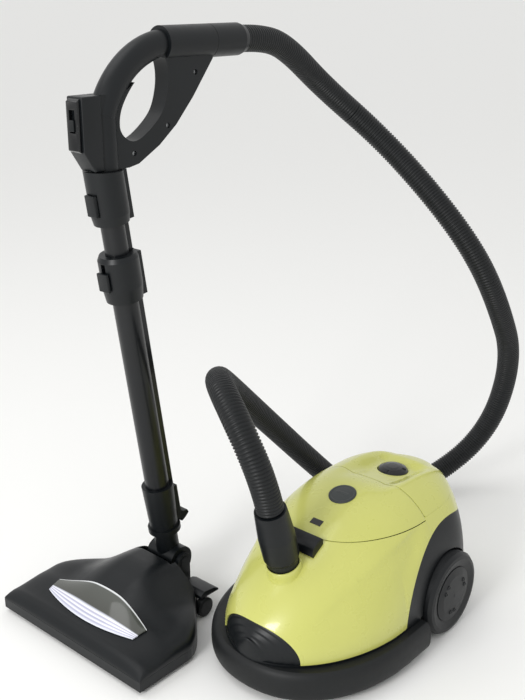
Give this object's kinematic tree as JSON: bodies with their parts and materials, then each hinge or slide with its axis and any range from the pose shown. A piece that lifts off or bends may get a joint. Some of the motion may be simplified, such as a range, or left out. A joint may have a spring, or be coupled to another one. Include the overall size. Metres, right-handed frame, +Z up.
{
  "type": "canister vacuum cleaner",
  "caption": "Canister vacuum cleaner: rounded shell on wheels with opening lid, ribbed hose, loop handle, telescopic wand and tilting powered floor nozzle with lamp.",
  "frame": {"origin": "on the floor, under the middle of everything except the hose", "axes": "+Z up; +X to the right of the canister seen from behind its front, -Y the way the canister and the nozzle face"},
  "size_m": [0.5497, 0.8586, 0.8515],
  "materials": {
    "yellow_shell": "smooth gloss, pale lemon yellow",
    "black_plastic": "fine satin black",
    "black_gloss": "smooth black, soft gloss",
    "bumper_rubber": "matt black rubber",
    "wheel_plastic": "satin dark grey",
    "hose_plastic": "ribbed satin black",
    "tube_plastic": "smooth blue-black",
    "badge_grey": "dark grey",
    "smoked_window": "smoked",
    "lamp_lens": "clear, faintly ribbed",
    "lamp_glass": "clear bulb on a white board",
    "inner_plastic": "plain moulded",
    "steel": "machined",
    "paper_bag": "dust bag paper",
    "filter_foam": "pleated filter",
    "board_green": "circuit board",
    "bristle": "nylon bristles on a black core",
    "seal_rubber": "soft seal",
    "belt_rubber": "drive belt"
  },
  "bodies": {
    "body": {"chassis_tray": "inner_plastic", "bumper_ring": "bumper_rubber", "body_shell": "yellow_shell", "front_grille": "black_plastic", "rear_hood": "yellow_shell", "rear_shell": "yellow_shell", "side_panel_left": "black_plastic", "side_panel_right": "black_plastic", "back_cover": "black_plastic", "cord_gland": "black_plastic", "air_filters": "filter_foam", "dust_bag": "paper_bag", "bag_holder": "inner_plastic", "inlet_seal": "seal_rubber", "motor_housing": "inner_plastic", "control_board": "board_green", "hose_lower": "hose_plastic", "nozzle_base": "inner_plastic", "sole_plate": "inner_plastic", "nozzle_hood": "black_gloss", "lamp_lens": "lamp_lens", "lamp_bulb": "lamp_glass", "nozzle_motor": "steel", "drive_belt": "belt_rubber", "button_spring": "steel"},
    "wheel_right": {"rear_wheel_right": "wheel_plastic", "wheel_cap_right": "wheel_plastic"},
    "wheel_left": {"rear_wheel_left": "wheel_plastic", "wheel_cap_left": "wheel_plastic"},
    "caster_fork": {"caster_fork": "wheel_plastic"},
    "caster_wheel": {"caster_wheel": "wheel_plastic"},
    "lid": {"bag_lid": "yellow_shell", "lid_badge": "badge_grey", "bag_full_window": "smoked_window"},
    "lid_latch": {"lid_latch": "black_plastic"},
    "power_button": {"power_button": "black_gloss"},
    "motor_rotor": {"motor_rotor": "steel"},
    "cord_reel": {"cord_reel": "inner_plastic"},
    "hose_cuff": {"hose_cuff": "black_plastic"},
    "lower_wand": {"neck_elbow": "black_plastic", "lower_wand": "tube_plastic", "wand_lock_collar": "black_plastic", "hose_upper": "hose_plastic"},
    "neck_pedal": {"neck_pedal": "black_plastic"},
    "lock_slider": {"lock_slider": "black_plastic"},
    "upper_wand": {"upper_wand": "tube_plastic", "handle_socket": "black_plastic", "handle_left_half": "black_plastic", "handle_right_half": "black_plastic", "handle_screws": "steel", "control_block": "black_plastic", "control_face": "black_gloss"},
    "socket_button": {"socket_button": "black_plastic"},
    "power_slider": {"power_slider": "black_plastic"},
    "handle_cuff": {"handle_cuff": "black_plastic"},
    "brush_roll": {"brush_roll": "bristle"},
    "motor_pulley": {"motor_pulley": "steel"},
    "nozzle_wheel_left": {"nozzle_wheel_left": "wheel_plastic"},
    "nozzle_wheel_right": {"nozzle_wheel_right": "wheel_plastic"},
    "nozzle_pedal": {"nozzle_pedal": "black_plastic"}
  },
  "joints": [
    {"name": "wheel_right_spin", "type": "hinge", "parent": "body", "child": "wheel_right", "pos_m": [0.2525, 0.144, 0.063], "axis": [1, 0, 0], "continuous": true},
    {"name": "wheel_left_spin", "type": "hinge", "parent": "body", "child": "wheel_left", "pos_m": [0.0045, 0.144, 0.063], "axis": [1, 0, 0], "continuous": true},
    {"name": "caster_swivel", "type": "hinge", "parent": "body", "child": "caster_fork", "pos_m": [0.1285, -0.088, 0.04], "axis": [0, 0, 1], "continuous": true},
    {"name": "caster_roll", "type": "hinge", "parent": "caster_fork", "child": "caster_wheel", "pos_m": [0.1285, -0.077, 0.015], "axis": [1, 0, 0], "continuous": true},
    {"name": "lid_hinge", "type": "hinge", "parent": "body", "child": "lid", "pos_m": [0.1285, 0.117, 0.226], "axis": [-1, 0, 0], "range_deg": [0, 50]},
    {"name": "latch_hinge", "type": "hinge", "parent": "lid", "child": "lid_latch", "pos_m": [0.1285, -0.0305, 0.1885], "axis": [-1, 0, 0], "range_deg": [0, 25], "stiffness_Nm_per_rad": 0.1, "springref_deg": -28.65},
    {"name": "power_press", "type": "slide", "parent": "body", "child": "power_button", "axis": [0, 0, -1], "range_m": [0, 0.004], "stiffness_N_per_m": 800, "springref_m": -0.002, "deforming": ["button_spring"]},
    {"name": "motor_spin", "type": "hinge", "parent": "body", "child": "motor_rotor", "pos_m": [0.0885, 0.174, 0.104], "axis": [1, 0, 0], "continuous": true},
    {"name": "reel_spin", "type": "hinge", "parent": "body", "child": "cord_reel", "pos_m": [0.1685, 0.17, 0.104], "axis": [1, 0, 0], "continuous": true},
    {"name": "hose_swivel", "type": "hinge", "parent": "body", "child": "hose_cuff", "pos_m": [0.1285, -0.08, 0.166], "axis": [0, -0.284, 0.9588], "continuous": true},
    {"name": "wand_tilt", "type": "hinge", "parent": "body", "child": "lower_wand", "pos_m": [-0.1225, -0.056, 0.066], "axis": [-1, 0, 0], "range_deg": [0, 60], "deforming": ["hose_lower", "hose_upper"]},
    {"name": "neck_pedal_press", "type": "hinge", "parent": "lower_wand", "child": "neck_pedal", "pos_m": [-0.1225, -0.0356, 0.12567], "axis": [-1, 0, 0], "range_deg": [0, 12], "stiffness_Nm_per_rad": 1, "springref_deg": -11.46},
    {"name": "lock_press", "type": "slide", "parent": "lower_wand", "child": "lock_slider", "axis": [0, -0.1478, 0.989], "range_m": [0, 0.008], "stiffness_N_per_m": 400, "springref_m": -0.003},
    {"name": "wand_telescope", "type": "slide", "parent": "lower_wand", "child": "upper_wand", "axis": [0, -0.1478, 0.989], "range_m": [-0.04, 0.26], "deforming": ["hose_upper"]},
    {"name": "socket_press", "type": "slide", "parent": "upper_wand", "child": "socket_button", "axis": [0, 0.989, 0.1478], "range_m": [0, 0.003], "stiffness_N_per_m": 600, "springref_m": -0.002},
    {"name": "power_slide", "type": "slide", "parent": "upper_wand", "child": "power_slider", "axis": [0, 0, 1], "range_m": [0, 0.01]},
    {"name": "handle_swivel", "type": "hinge", "parent": "upper_wand", "child": "handle_cuff", "pos_m": [-0.1225, 0.084, 0.829], "axis": [0, 1, 0], "continuous": true},
    {"name": "brush_spin", "type": "hinge", "parent": "body", "child": "brush_roll", "pos_m": [-0.1225, -0.226, 0.016], "axis": [1, 0, 0], "continuous": true},
    {"name": "pulley_spin", "type": "hinge", "parent": "body", "child": "motor_pulley", "pos_m": [-0.0175, -0.174, 0.028], "axis": [1, 0, 0], "continuous": true},
    {"name": "nozzle_wheel_left_spin", "type": "hinge", "parent": "body", "child": "nozzle_wheel_left", "pos_m": [-0.2025, -0.068, 0.015], "axis": [1, 0, 0], "continuous": true},
    {"name": "nozzle_wheel_right_spin", "type": "hinge", "parent": "body", "child": "nozzle_wheel_right", "pos_m": [-0.0425, -0.068, 0.015], "axis": [1, 0, 0], "continuous": true},
    {"name": "nozzle_pedal_press", "type": "hinge", "parent": "body", "child": "nozzle_pedal", "pos_m": [-0.0585, -0.072, 0.033], "axis": [-1, 0, 0], "range_deg": [0, 8], "stiffness_Nm_per_rad": 1.5, "springref_deg": -11.46}
  ],
  "couplings": [
    {"joint": "pulley_spin", "follows": "brush_spin", "ratio": 1.8}
  ]
}
